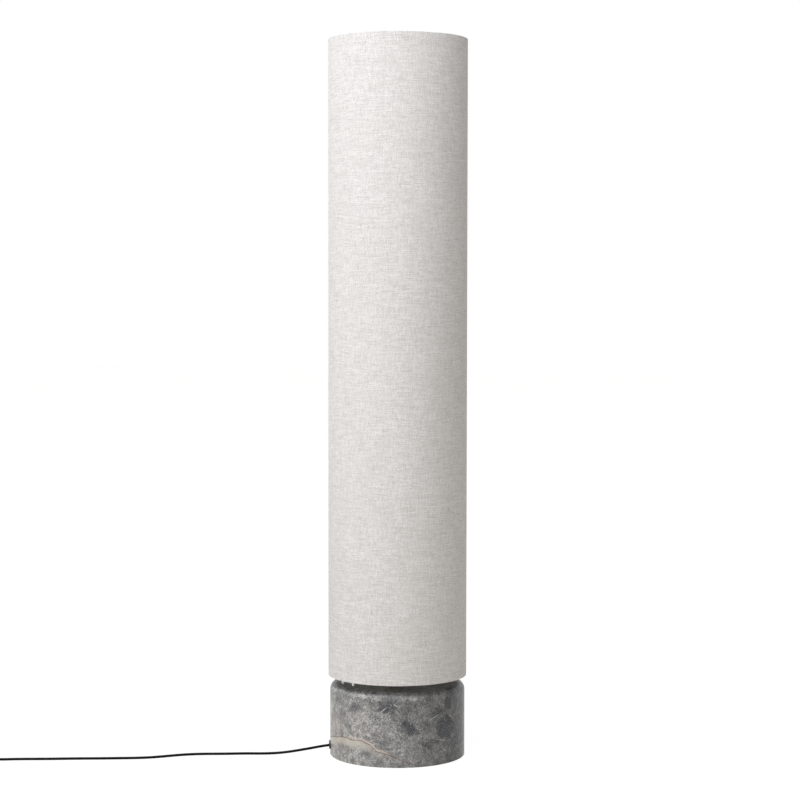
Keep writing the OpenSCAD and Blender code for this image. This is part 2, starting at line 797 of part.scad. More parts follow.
// Outer shape of the wound cord
module cord_coil() {
    color("black")
    translate([coil_x, coil_y, coil_z]) tube(coil_out_r, coil_in_r, coil_h);
}

// Soft strap round the turns
module coil_tie() {
    gap = 0.05;
    wide = coil_out_r - coil_in_r + 2 * gap;
    color("dimgray")
    translate([coil_x - coil_mean_r, coil_y, 0]) difference() {
        translate([-wide / 2 - tie_t, -tie_w / 2, 0]) cube([wide + 2 * tie_t, tie_w, coil_h + 2 * tie_t + 2 * gap]);
        intersection() {
            translate([-wide / 2 - 4, -tie_w / 2 - 1, tie_t]) cube([wide + 8, tie_w + 2, coil_h + 2 * gap]);
            translate([coil_mean_r, 0, tie_t]) tube(coil_out_r + gap, coil_in_r - gap, coil_h + 2 * gap);
        }
    }
}

// ---------------------------------------------------------------- foot switch

module at_switch() {
    translate([switch_x, switch_y, 0]) children();
}

module switch_base() {
    color("black")
    at_switch() difference() {
        union() {
            cylinder(r = switch_r - switch_wall - 0.1, h = switch_base_t);
            tube(6, 4, switch_base_t + 5);
        }
        around(2, pillar_r, 90) translate([0, 0, -eps]) {
            cylinder(d = 3.2, h = switch_base_t + 1);
            cylinder(d = 5.4, h = 1.6);
        }
    }
}

// Domed cover with a boot on each side for the cord
module switch_cover() {
    r = switch_r;
    b = switch_round;
    w = switch_wall;
    color("black")
    at_switch() difference() {
        union() {
            rotate_extrude() difference() {
                union() {
                    square([r, switch_h - b]);
                    square([r - b, switch_h]);
                    intersection() {
                        translate([r - b, switch_h - b]) circle(r = b);
                        translate([r - b - eps, switch_h - b - eps]) square(b + 1);
                    }
                }
                translate([-1, -eps]) square([r - w + 1, switch_h - b + eps]);
                translate([-1, -eps]) square([r - b + 1, switch_h - w + eps]);
                intersection() {
                    translate([r - b, switch_h - b]) circle(r = b - w);
                    translate([r - b - eps, switch_h - b - eps]) square(b - w + 1);
                }
            }
            for (a = [0, 180]) rotate([0, 0, a]) translate([r - 1.5, 0, cord_entry_z]) rotate([0, 90, 0])
                cylinder(d1 = cord_d + 5, d2 = cord_d + 1.6, h = boot_len + 1.5);
            around(2, pillar_r, 90) translate([0, 0, switch_base_t])
                cylinder(d = pillar_d, h = switch_h - switch_base_t - 2);
        }
        cylinder(d = button_d + 2 * slack, h = switch_h + 1);
        around(2, pillar_r, 90) translate([0, 0, switch_base_t - eps]) cylinder(d = 2.6, h = 9);
    }
}

module switch_button() {
    top = switch_h + button_rise;
    color("dimgray")
    at_switch() difference() {
        union() {
            translate([0, 0, button_low]) cylinder(d = button_d + 5, h = button_flange);
            translate([0, 0, button_low]) cylinder(d = button_d, h = top - 1.5 - button_low);
            translate([0, 0, top - 1.5]) cylinder(d1 = button_d, d2 = button_d - 3, h = 1.5);
        }
        translate([0, 0, button_low - eps]) cylinder(r = button_bore_r, h = top - 3 - button_low);
    }
}

// Return spring between the base and the button
module switch_spring() {
    low = switch_base_t + spring_wire / 2 + 0.05;
    rise = switch_h + button_rise - 3 - spring_wire / 2 - 0.05 - low;
    turns = 5;
    steps = 12;                             // points a turn
    last = turns * steps;
    color("silver")
    at_switch() swept_tube(
        [for (k = [0:last])
            [spring_r * cos(360 * k / steps), spring_r * sin(360 * k / steps), low + rise * k / last]],
        spring_wire, 6);
}

module switch_screws() {
    color("silver")
    at_switch() around(2, pillar_r, 90) translate([0, 0, 1.5]) mirror([0, 0, 1])
        screw(2.5, 8, 5, 1.2);
}

// ---------------------------------------------------------------- plug

// Flat moulded body with a tapered boot
module plug_body() {
    neck = 10;
    color("black")
    translate([plug_x, plug_y, plug_z]) difference() {
        union() {
            translate([neck, 0, 0]) rotate([0, 90, 0]) linear_extrude(plug_len - neck) plug_outline(plug_w);
            translate([neck - 6, 0, 0]) rotate([0, 90, 0]) linear_extrude(6 + eps) plug_outline(plug_w - 5);
            translate([-plug_boot_len, 0, 0]) rotate([0, 90, 0])
                cylinder(d1 = cord_d + 1.6, d2 = plug_t - 2.5, h = plug_boot_len + neck - 5);
        }
        for (s = [-1, 1]) translate([plug_len - pin_root, s * pin_pitch / 2, 0]) rotate([0, 90, 0])
            cylinder(d = pin_d - 0.5, h = pin_root + 1);
    }
}

// Stadium outline of the plug, across its length
module plug_outline(w) {
    union() {
        square([plug_t, w - plug_t], center = true);
        for (s = [-1, 1]) translate([0, s * (w - plug_t) / 2]) circle(d = plug_t);
    }
}

// Round pins on thinner roots that are held in the body
module plug_pins() {
    tip = pin_d / 2;
    root = pin_root - 0.5;
    color("silver")
    translate([plug_x + plug_len, plug_y, plug_z])
        for (s = [-1, 1]) translate([0, s * pin_pitch / 2, 0]) rotate([0, 90, 0]) union() {
            translate([0, 0, -root]) cylinder(d = pin_d - 0.6, h = root + 0.1);
            translate([0, 0, 0.05]) cylinder(d = pin_d, h = pin_len - tip - 0.05);
            translate([0, 0, pin_len - tip - eps]) cylinder(d1 = pin_d, d2 = pin_d - 2, h = tip + eps);
        }
}

// ---------------------------------------------------------------- the nodes

stone_base();
felt_ring();
bottom_cover();
cover_screws();
cover_inserts();
pole_nipple();
nipple_nut();
nipple_washer();
pole_foot();
pole();
pole_cap();
cable_gland();
gland_nut();
cord_clamp();
clamp_screws();
terminal_block();
terminal_screws();
base_cord();
lead_1();
lead_2();
lead_3();
shade_carrier();
carrier_pegs();
grub_screws();
bracket_1();
bracket_2();
bracket_3();
bracket_screws();
holder_1_shell();
holder_2_shell();
holder_3_shell();
holder_1_contacts();
holder_2_contacts();
holder_3_contacts();
bulb_1_cap();
bulb_2_cap();
bulb_3_cap();
bulb_1_housing();
bulb_2_housing();
bulb_3_housing();
bulb_1_globe();
bulb_2_globe();
bulb_3_globe();
shade_fabric();
shade_liner();
shade_spider();
shade_bottom_ring();
finial();
finial_washer();
lamp_cord();
supply_cord();
cord_coil();
coil_tie();
switch_base();
switch_cover();
switch_button();
switch_spring();
switch_screws();
plug_body();
plug_pins();
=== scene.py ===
import math

import bpy
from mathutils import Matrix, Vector


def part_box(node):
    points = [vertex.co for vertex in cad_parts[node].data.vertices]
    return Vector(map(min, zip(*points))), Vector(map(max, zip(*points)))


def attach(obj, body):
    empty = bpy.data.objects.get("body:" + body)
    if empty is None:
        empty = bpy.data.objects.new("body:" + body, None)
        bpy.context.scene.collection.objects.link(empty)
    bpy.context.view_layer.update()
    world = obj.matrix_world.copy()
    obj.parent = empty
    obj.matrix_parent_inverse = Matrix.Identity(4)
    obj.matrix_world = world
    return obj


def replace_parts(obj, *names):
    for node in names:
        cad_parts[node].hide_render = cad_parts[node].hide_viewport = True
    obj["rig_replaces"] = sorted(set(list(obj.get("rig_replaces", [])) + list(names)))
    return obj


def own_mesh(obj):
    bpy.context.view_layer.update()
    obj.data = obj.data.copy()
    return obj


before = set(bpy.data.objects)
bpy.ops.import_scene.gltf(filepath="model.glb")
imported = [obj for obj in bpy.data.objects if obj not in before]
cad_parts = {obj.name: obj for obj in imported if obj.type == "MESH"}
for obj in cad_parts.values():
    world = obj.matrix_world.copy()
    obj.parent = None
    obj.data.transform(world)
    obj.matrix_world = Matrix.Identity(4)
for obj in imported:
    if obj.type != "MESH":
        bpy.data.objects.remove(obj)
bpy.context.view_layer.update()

MM = 0.001

# ---- Viewpoint
# A photographer's long lens at the height of the shade's middle, three and a half metres in
# front of the lamp and tipped a little down. It was fitted to the outlines of shade and stone.
camera_data = bpy.data.cameras.new("camera")
camera_data.sensor_width = 36.0
focal_pixels, picture_pixels = 2063.21, 800
camera_data.lens = focal_pixels / picture_pixels * camera_data.sensor_width
camera_data.shift_x = 0.0028
camera = bpy.data.objects.new("camera", camera_data)
camera.location = (0.0, -3.4604, 0.7706)
tipped_down, roll = math.radians(2.8287), -0.00115
camera.rotation_euler = (math.radians(90.0) - tipped_down, roll, 0.0)
bpy.context.scene.collection.objects.link(camera)
bpy.context.scene.camera = camera
bpy.context.scene.view_settings.view_transform = "Standard"


# ---- Studio
# A white sweep of floor under a white surround, with one large soft window high on the left, a
# weak panel on each side low down, and even light from all round.
class Signal:
    """A value, colour or vector on its way through a material, with ordinary arithmetic."""

    def __init__(self, tree, socket=None):
        self.tree = tree
        self.socket = socket

    def node(self, kind, settings=None, output=0, **sockets):
        """A new node of that kind: its settings, then its sockets by name or as i0, i1 and so on."""
        node = self.tree.nodes.new("ShaderNode" + kind)
        for name, value in (settings or {}).items():
            if name == "stops":
                marks = node.color_ramp.elements
                while len(marks) < len(value):
                    marks.new(0.5)
                for mark, (place, colour) in zip(marks, value):
                    mark.position = place
                    mark.color = colour
            elif name == "points":
                curve = node.mapping.curves[0]
                while len(curve.points) < len(value):
                    curve.points.new(0.5, 0.5)
                for mark, place in zip(curve.points, value):
                    mark.location = place
                node.mapping.update()
            else:
                setattr(node, name, value)
        for name, value in sockets.items():
            socket = node.inputs[int(name[1:]) if name[1:].isdigit() else name.replace("_", " ")]
            if isinstance(value, Signal):
                self.tree.links.new(value.socket, socket)
            else:
                socket.default_value = value
        return Signal(self.tree, node.outputs[output])

    def out(self, output):
        """Another output of the same node."""
        return Signal(self.tree, self.socket.node.outputs[output])

    def math(self, operation, *others):
        values = {"i%d" % (k + 1): other for k, other in enumerate(others)}
        return self.node("Math", {"operation": operation}, i0=self, **values)

    def __add__(self, other):
        return self.math("ADD", other)

    def __sub__(self, other):
        return self.math("SUBTRACT", other)

    def __mul__(self, other):
        return self.math("MULTIPLY", other)

    def __truediv__(self, other):
        return self.math("DIVIDE", other)

    def __rsub__(self, other):
        return self * -1.0 + other

    __radd__ = __add__

    def step(self, low, high):
        """0 below low and 1 above high, smooth between them."""
        return self.node("MapRange", {"interpolation_type": "SMOOTHSTEP"}, Value=self, From_Min=low,
                         From_Max=high)

    def fade(self, low, high):
        """1 below low and 0 above high, smooth between them."""
        return self.node("MapRange", {"interpolation_type": "SMOOTHSTEP"}, Value=self, From_Min=low,
                         From_Max=high, To_Min=1.0, To_Max=0.0)

    def mix(self, first, second):
        """The first colour where this value is 0, the second where it is 1."""
        return self.node("Mix", {"data_type": "RGBA"}, output=2, i0=self, i6=first, i7=second)

    def noise(self, scale, detail=2.0, roughness=0.5, output=0):
        """Noise on this vector; its value lies round 0.5."""
        return self.node("TexNoise", None, output, Vector=self, Scale=scale, Detail=detail,
                         Roughness=roughness)

    def borders(self, scale):
        """Distance from the borders of cells of about 1 / scale metres."""
        return self.node("TexVoronoi", {"feature": "DISTANCE_TO_EDGE"}, Vector=self, Scale=scale)

    def ridges(self, scale, width, detail=4.0, roughness=0.6):
        """1 on the wandering lines where noise of that scale passes its middle."""
        return (self.noise(scale, detail, roughness) - 0.5).math("ABSOLUTE").fade(0.0, width)

    def scaled(self, x, y, z):
        return self.node("Mapping", Vector=self, Scale=(x, y, z))

    def in_view(self):
        """1 on rays from the camera, straight, mirrored or through glass, and 0 on diffuse light."""
        path = self.node("LightPath")
        mirrored = path.math("MAXIMUM", path.out("Is Glossy Ray"))
        return mirrored.math("MAXIMUM", path.out("Is Transmission Ray"))

    def warped(self, scale, reach):
        """This vector, pushed about by noise of that scale, by up to half of reach."""
        push = self.noise(scale, 2.0, 0.5, output=1)
        return self.node("VectorMath", {"operation": "MULTIPLY_ADD"}, i0=push, i1=(reach,) * 3, i2=self)


class Finish(Signal):
    """A new material with a principled shader, and its signals."""

    def __init__(self, name, **sockets):
        self.material = bpy.data.materials.new(name)
        self.material.use_nodes = True
        super().__init__(self.material.node_tree)
        self.shader = self.tree.nodes["Principled BSDF"]
        for socket, value in sockets.items():
            self.shader.inputs[socket.replace("_", " ")].default_value = value
        self.place = self.node("TexCoord", output=3)
        split = self.node("SeparateXYZ", Vector=self.place)
        self.x, self.y, self.z = split, split.out(1), split.out(2)

    def feed(self, **sockets):
        for socket, signal in sockets.items():
            self.tree.links.new(signal.socket, self.shader.inputs[socket.replace("_", " ")])

    def bump(self, height, depth, strength=1.0):
        """Raises the surface by height times depth, in metres."""
        self.feed(Normal=self.node("Bump", Height=height, Distance=depth, Strength=strength))


def rgb(red, green, blue):
    """A colour as a picture holds it, 0 to 255, in the form that a shader wants."""
    def linear(level):
        level = level / 255.0
        return level / 12.92 if level <= 0.04045 else ((level + 0.055) / 1.055) ** 2.4
    return (linear(red), linear(green), linear(blue), 1.0)


def wear(piece, finish):
    """The piece takes that finish all over."""
    for k in range(len(piece.material_slots)):
        piece.material_slots[k].material = finish.material
    if not piece.material_slots:
        piece.data.materials.append(finish.material)


def dress(finish, *nodes):
    """These pieces of the CAD model take that finish."""
    for node in nodes:
        wear(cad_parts[node], finish)


paper = Finish("studio_paper", Roughness=0.9, Base_Color=(0.42, 0.393, 0.36, 1.0))
paper.shader.inputs["Specular IOR Level"].default_value = 0.0
seen = paper.in_view()
glow = paper.node("Emission", Color=(1.0, 1.0, 1.0, 1.0), Strength=1.09)
cast = paper.tree.nodes.new("ShaderNodeMixShader")
shadow_share = 0.1
paper.tree.links.new((seen * (1.0 - shadow_share)).socket, cast.inputs[0])
paper.tree.links.new(paper.shader.outputs[0], cast.inputs[1])
paper.tree.links.new(glow.socket, cast.inputs[2])
paper.tree.links.new(cast.outputs[0], paper.tree.nodes["Material Output"].inputs[0])
bpy.ops.mesh.primitive_plane_add(size=40.0, location=(0.0, 0.0, 0.0))
floor = bpy.context.object
floor.name = "studio_floor"
wear(floor, paper)

world = bpy.data.worlds.new("surround")
bpy.context.scene.world = world
world.use_nodes = True
direct = Signal(world.node_tree).in_view()
even_light = 0.3
background = world.node_tree.nodes["Background"]
even_colour = direct.mix((1.0, 0.994, 0.984, 1.0), (1.0, 1.0, 1.0, 1.0))
direct.tree.links.new(even_colour.socket, background.inputs["Color"])
direct.tree.links.new((direct * (1.0 - even_light) + even_light).socket, background.inputs["Strength"])


def soft_lamp(name, place, aim, size, power, colour):
    """A flat lamp at that place, turned to the aim."""
    light = bpy.data.lights.new(name, "AREA")
    light.shape = "RECTANGLE"
    light.size, light.size_y = size
    light.energy = power
    light.color = colour
    lamp = bpy.data.objects.new(name, light)
    lamp.location = place
    lamp.rotation_euler = (Vector(aim) - Vector(place)).to_track_quat("-Z", "Y").to_euler()
    bpy.context.scene.collection.objects.link(lamp)


soft_lamp("window_left", (-1.95, -2.37, 10.2), (0.0, 0.0, 0.7), (3.2, 3.2), 1600.0, (0.99, 1.0, 1.01))
soft_lamp("panel_left", (-1.38, -1.7, 0.35), (0.0, 0.0, 0.35), (1.0, 0.8), 6.5, (0.99, 1.0, 1.01))
soft_lamp("panel_right", (2.6, -1.2, 1.4), (0.0, 0.0, 0.6), (1.2, 2.0), 4.0, (1.0, 0.98, 0.96))

# ---- Mains cord, from the gland to the foot switch
# Round two-core cord with a black PVC sheath, 4.4 mm thick. It comes out of the gland, drops to
# the floor within ten centimetres and runs to the left in one shallow wave.
cord_thick = 4.4 * MM


def smooth(points, steps):
    """The same points with more between them, on a smooth curve through all of them."""
    line = []
    last = len(points) - 1
    for k in range(last):
        before, start, end, after = (points[min(max(k + j, 0), last)] for j in (-1, 0, 1, 2))
        for s in range(steps):
            t = s / steps
            bend = 2 * before - 5 * start + 4 * end - after
            twist = 3 * start - before - 3 * end + after
            line.append(0.5 * (2 * start + (end - before) * t + bend * t * t + twist * t ** 3))
    line.append(points[last])
    return line


def measured(points):
    return sum((b - a).length for a, b in zip(points, points[1:]))


def cord_curve(name, points, thickness, finish, sides=10):
    """A cord along those points, in metres."""
    curve = bpy.data.curves.new(name, "CURVE")
    curve.dimensions = "3D"
    curve.bevel_depth = thickness / 2
    curve.bevel_resolution = sides // 2 - 1
    curve.use_fill_caps = True
    spline = curve.splines.new("POLY")
    spline.points.add(len(points) - 1)
    for target, point in zip(spline.points, points):
        target.co = (*point, 1.0)
    spline.use_smooth = True
    cord = bpy.data.objects.new(name, curve)
    bpy.context.scene.collection.objects.link(cord)
    wear(cord, finish)
    return cord


sheath = Finish("cord_sheath")
sheath.shader.inputs["Specular IOR Level"].default_value = 0.04
scuff = sheath.place.noise(900.0, 3.0)
sheath.feed(Roughness=scuff * 0.16 + 0.36,
            Base_Color=sheath.place.noise(60.0, 2.0).step(0.35, 0.7).mix(rgb(11, 11, 12), rgb(19, 19, 20)))
sheath.bump(scuff, 0.02 * MM)

cord_azimuth = math.radians(186.0)
gland_face = 115.5
lamp_route = [
    (gland_face * math.cos(cord_azimuth), gland_face * math.sin(cord_azimuth), 17.3),
    (-130, -12.2, 15), (-147, -12.2, 11.8), (-164, -12, 8.8), (-181, -11.8, 6),
    (-198, -11.3, 3.9), (-215, -10.5, 2.7), (-232, -10, 2.25), (-250, -9.7, 2.25),
    (-268, -10.6, 2.25), (-285, -12, 2.25), (-301, -12.8, 2.25), (-318, -13.2, 2.25),
    (-334, -14.4, 2.25), (-350, -17.2, 2.25), (-366, -22, 2.25), (-382, -28.4, 2.25),
    (-398, -35.2, 2.25), (-414, -40.6, 2.25), (-431, -44, 2.25), (-448, -45.6, 2.25),
    (-466, -46.8, 2.25), (-484, -47.9, 2.25), (-502, -48.7, 2.25), (-520, -49.2, 2.25),
    (-540, -50, 2.25), (-560, -51.3, 2.25), (-580, -52.5, 2.25), (-600, -53.1, 2.25),
    (-620, -53.7, 2.25), (-640, -54.9, 2.25), (-655, -56.5, 2.25), (-664, -57.7, 2.8), (-672, -59, 5.2),
    (-680, -60, 7.5),
]
lamp_line = smooth([Vector(point) * MM for point in lamp_route], 6)
lamp_cord = cord_curve("mains_cord", lamp_line, cord_thick, sheath)
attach(lamp_cord, "base")
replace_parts(lamp_cord, "lamp_cord")
measured(lamp_line)

# ---- Mains cord, from the foot switch to the plug
# The length that a floor lamp has beyond its switch, wound into two flat layers of turns, one on
# the other, and lying on the floor beside the switch.
switch_half = 50.0
switch_face = (-780.0, -60.0, 7.5)
supply_route = [
    switch_face, (-789, -60, 6.2), (-799, -60, 4), (-810, -60, 3), (-823, -60, 2.85),
    (-837, -60, 2.85), (-850, -60, 2.85),
]
plug_route = [
    (-850, -125.4, 7.25), (-842, -125.5, 6.3), (-832, -125.7, 4.2), (-822, -126.1, 2.8),
    (-812, -126.8, 2.3), (-803, -127.4, 2.6), (-795, -127.8, 4), (-787, -128, 6.1), (-779, -128, 6.9),
]
coil_centre = Vector((-862.0, -92.7, 0.0))
coil_outer, coil_inner = 32.7, 17.3
coil_layers = (2.85, 7.25)
turn_points = 40
spiral_turns, climb_turns = 3.5, 0.5
coil_turns = 2.0 * spiral_turns + climb_turns
coil_route = []
for k in range(int(turn_points * coil_turns) + 1):
    turn = k / turn_points
    angle = math.radians(90.0 + 360.0 * turn)
    if turn <= spiral_turns:
        radius = coil_outer - (coil_outer - coil_inner) * turn / spiral_turns
    else:
        outward = max(turn - spiral_turns - climb_turns, 0.0)
        radius = coil_inner + (coil_outer - coil_inner) * outward / spiral_turns
    climb = min(max((turn - spiral_turns) / climb_turns, 0.0), 1.0)
    climb = climb * climb * (3.0 - 2.0 * climb)
    level = coil_layers[0] + (coil_layers[1] - coil_layers[0]) * climb
    coil_route.append(coil_centre + Vector((radius * math.cos(angle), radius * math.sin(angle), level)))
supply_line = (smooth([Vector(point) * MM for point in supply_route] + [coil_route[0] * MM], 5)[:-1]
               + [point * MM for point in coil_route]
               + smooth([coil_route[-1] * MM] + [Vector(point) * MM for point in plug_route], 5)[1:])
supply_cord = cord_curve("supply_cord_wound", supply_line, cord_thick, sheath)
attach(supply_cord, "base")
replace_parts(supply_cord, "supply_cord", "cord_coil")

# ---- Film of the shade
# A stiff white styrene sheet, rolled to a tube, that carries the cloth. A faint glow all over is
# painted light that stands in for daylight coming through the cloth. Its ends are glued round the
# two wire rings.
def start(kind, **where):
    """A primitive at its size and place, alone selected and in edit mode."""
    bpy.ops.object.select_all(action="DESELECT")
    getattr(bpy.ops.mesh, "primitive_%s_add" % kind)(**where)
    bpy.ops.object.mode_set(mode="EDIT")
    bpy.ops.mesh.select_all(action="SELECT")
    return bpy.context.object


def modify(kind, **settings):
    """Applies a modifier to the active piece."""
    editing = bpy.context.mode == "EDIT_MESH"
    if editing:
        bpy.ops.object.mode_set(mode="OBJECT")
    piece = bpy.context.object
    modifier = piece.modifiers.new(kind.lower(), kind)
    for name, value in settings.items():
        setattr(modifier, name, value)
    bpy.ops.object.modifier_apply(modifier=modifier.name)
    if editing:
        bpy.ops.object.mode_set(mode="EDIT")


def rounded(offset, segments, profile=0.5):
    """Rounds the sharp edges of the active piece."""
    bpy.ops.mesh.select_all(action="DESELECT")
    bpy.ops.mesh.edges_select_sharp(sharpness=math.radians(60.0))
    bpy.ops.mesh.bevel(offset=offset, segments=segments, profile=profile)


def finished(name, finish, body, replaces=(), angle=35.0, outward=True):
    """Closes the work on the active piece: its faces, its place, its finish and its body."""
    if bpy.context.mode == "EDIT_MESH":
        if outward:
            bpy.ops.mesh.select_all(action="SELECT")
            bpy.ops.mesh.normals_make_consistent(inside=False)
        bpy.ops.object.mode_set(mode="OBJECT")
    piece = bpy.context.object
    bpy.ops.object.transform_apply(location=True, rotation=True, scale=True)
    bpy.ops.object.shade_smooth_by_angle(angle=math.radians(angle))
    piece.name = name
    wear(piece, finish)
    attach(piece, body)
    if replaces:
        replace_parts(piece, *replaces)
    return piece


def rolled(name, radius, thickness, low, high, finish, node):
    """A sheet rolled to a cylinder with that outer radius, with its rims rounded."""
    start("cylinder", vertices=256, radius=radius, depth=high - low, end_fill_type="NOTHING",
          location=(0.0, 0.0, (low + high) / 2))
    modify("SOLIDIFY", thickness=thickness, offset=-1.0)
    rounded(thickness * 0.35, 3, 0.6)
    return finished(name, finish, "shade", (node,))


# Painted light: the faint emission makes the film glow, standing in for daylight through the cloth.
film = Finish("styrene_film", Roughness=0.45, Emission_Color=(1.0, 0.94, 0.87, 1.0), Emission_Strength=0.03)
haze = film.place.noise(35.0, 4.0, 0.6)
film.feed(Base_Color=haze.step(0.35, 0.65).mix(rgb(226, 225, 221), rgb(236, 235, 232)),
          Roughness=haze * 0.2 + 0.36)
film.bump(film.place.noise(260.0, 2.0), 0.05 * MM, 0.4)
film_low, film_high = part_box("shade_liner")
shade_film = rolled("shade_film", film_high.x, 0.75 * MM, film_low.z, film_high.z, film,
                    "shade_liner")

# ---- Cloth of the shade
# Off-white cloth with a linen look, woven from uneven threads and glued all over to the film,
# with its edges turned in round the rings. At the back it laps over itself in a glued seam.
linen = Finish("linen_cloth", Roughness=0.92, Sheen_Weight=0.12, Sheen_Roughness=0.5)
linen.shader.inputs["Specular IOR Level"].default_value = 0.15
cloth_low, cloth_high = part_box("shade_fabric")
cloth_r = cloth_high.x
round_way = linen.x.math("ARCTAN2", linen.y * -1.0) * cloth_r
sheet_place = linen.node("CombineXYZ", X=round_way, Y=linen.z, Z=0.0)
fine = 0.55 * MM
row_apart = 7.31


def threads(across, along, thick, length):
    """Rows of that thickness: each has its own run of pale and dark stretches of that length."""
    row = (along / thick).math("FLOOR")
    run = linen.node("CombineXYZ", X=across / length, Y=row * row_apart, Z=0.0)
    return run.noise(1.0, 2.0, 0.6) - 0.5


weft = threads(round_way, linen.z, 1.3 * MM, 26.0 * MM)
warp = threads(linen.z, round_way, 1.4 * MM, 22.0 * MM)
thin_weft = threads(round_way, linen.z, fine, 5.0 * MM)
thin_warp = threads(linen.z, round_way, fine, 11.0 * MM)
slub = sheet_place.scaled(900.0, 1000.0, 1.0).noise(1.0, 1.0, 0.5) - 0.5
over = (linen.z / fine * math.pi).math("SINE")
under = (round_way / fine * math.pi).math("SINE")
weave_lift = over * under
tone = weft * 1.0 + warp * 0.5 + thin_weft * 0.9 + thin_warp * 1.1 + slub * 2.0 + weave_lift * 0.07
cloth_colour = (tone * 1.05 + 0.5).mix(rgb(193, 190, 189), rgb(249, 248, 248))
stray = sheet_place.scaled(70.0, 600.0, 1.0).noise(1.0, 1.0, 0.5).step(0.66, 0.76)
cloth_colour = (stray * 0.3).mix(cloth_colour, rgb(188, 176, 166))
cloud = sheet_place.noise(9.0, 2.0)
cloth_colour = (cloud.step(0.35, 0.7) * 0.08).mix(cloth_colour, rgb(214, 211, 206))
linen.feed(Base_Color=cloth_colour, Roughness=tone * 0.2 + 0.9)
linen.bump(weave_lift * 0.4 + weft * 0.8 + warp * 0.5 + thin_weft * 0.8 + thin_warp * 0.8, 0.25 * MM, 0.5)

cloth = rolled("shade_cloth", cloth_r, 0.8 * MM, cloth_low.z, cloth_high.z, linen, "shade_fabric")
lap_thick, lap_short = 0.45 * MM, 1.0 * MM
lap_from, lap_to = math.radians(77.0), math.radians(83.0)
start("cylinder", vertices=256, radius=cloth_r + lap_thick, depth=cloth_high.z - cloth_low.z - lap_short,
      end_fill_type="NOTHING", location=(0.0, 0.0, (cloth_low.z + cloth_high.z) / 2))
for azimuth, way in ((lap_from, -1.0), (lap_to, 1.0)):
    bpy.ops.mesh.select_all(action="SELECT")
    bpy.ops.mesh.bisect(plane_co=(0.0, 0.0, 0.0), clear_inner=True,
                        plane_no=(way * math.sin(azimuth), -way * math.cos(azimuth), 0.0))
modify("SOLIDIFY", thickness=lap_thick * 0.9, offset=-1.0)
rounded(lap_thick * 0.35, 2)
finished("shade_cloth_lap", linen, "shade")

# ---- Stone base
# One turned block of grey marble, polished, with a broad rounded shoulder. Pale hairline cracks
# cover it in a net, darker clouds lie between them, and one rust-coloured vein runs down the
# front from the left edge to the foot. Painted shade darkens its right side and a band high on
# the front, under the shade's edge.
marble = Finish("grey_marble", Roughness=0.24, Coat_Roughness=0.1)
marble.shader.inputs["Specular IOR Level"].default_value = 0.1
round_front = marble.x.math("ARCTAN2", marble.y * -1.0) * (180.0 / math.pi)
height = marble.z / MM
mm_per_degree = 1.98
wobble = (marble.place.noise(70.0, 4.0, 0.6) - 0.5) * 2.0
drift = (marble.place.noise(22.0, 3.0, 0.55) - 0.5) * 2.0
side = round_front + drift * 20.0
round_back = side.step(90.0, 150.0)


def blot(azimuth, level, wide, tall, lean=0.0, ragged=0.7):
    """1 in a ragged patch of the front: degrees from the middle, millimetres from the floor."""
    across = (round_front - azimuth) * mm_per_degree
    up = height - level
    turn = math.radians(lean)
    long_way = (across * math.cos(turn) + up * math.sin(turn)) / wide
    short_way = (up * math.cos(turn) - across * math.sin(turn)) / tall
    spread = (long_way * long_way + short_way * short_way).math("SQRT")
    return (spread + wobble * ragged).fade(0.6, 1.15)


cloudy = marble.place.warped(11.0, 0.06).noise(19.0, 5.0, 0.62)
lumps = marble.place.warped(30.0, 0.022).warped(120.0, 0.004).borders(30.0).fade(0.04, 0.4)
stone = (cloudy.step(0.34, 0.62) * 0.5 + lumps * 0.5).mix(rgb(66, 68, 73), rgb(118, 118, 119))
# Each darker patch by azimuth, level, width, height, lean, raggedness and weight. The wide, smooth
# one at 2 degrees and 100 mm is painted shade under the shade's edge; the others are clouds in the stone.
cloud_and_shade_patches = ((9, 66, 11, 14, 60, 0.7, 0.9), (45, 62, 18, 22, 70, 0.7, 1.0), (48, 101, 9, 10, 0, 0.7, 0.9),
          (2, 100, 42, 16, 0, 0.3, 0.55), (-20, 84, 9, 6, 20, 0.7, 0.5), (-46, 62, 8, 12, 60, 0.7, 0.65),
          (-39, 96, 8, 7, 0, 0.7, 0.5), (30, 40, 16, 7, 15, 0.7, 0.4))
clouds_and_painted_shade = sum(blot(*patch) * weight for *patch, weight in cloud_and_shade_patches)
# Painted shade: the front grows darker towards the right, the side turned from the window, but not round the
# back.
painted_shade_right = round_front.step(0.0, 34.0) * 0.4 + round_front.step(40.0, 64.0) * 0.3
clouds_and_painted_shade = (clouds_and_painted_shade + painted_shade_right * (1.0 - round_back)).math("MINIMUM", 1.0)
stone = (clouds_and_painted_shade * 0.78).mix(stone, rgb(54, 57, 64))
pale_left = (side.fade(-60.0, 5.0) + round_back) * height.fade(75.0, 108.0) * 0.2
pale_left = pale_left + blot(-38, 36, 30, 12, -18) * 0.22
stone = pale_left.mix(stone, rgb(188, 185, 179))

grain = marble.place.noise(420.0, 5.0, 0.75)
crumb = marble.place.warped(300.0, 0.003).noise(560.0, 3.0, 0.7)
stone = (crumb.step(0.52, 0.66) * 0.36).mix(stone, rgb(206, 205, 202))
stone = (grain.fade(0.36, 0.5) * 0.42).mix(stone, rgb(58, 60, 65))

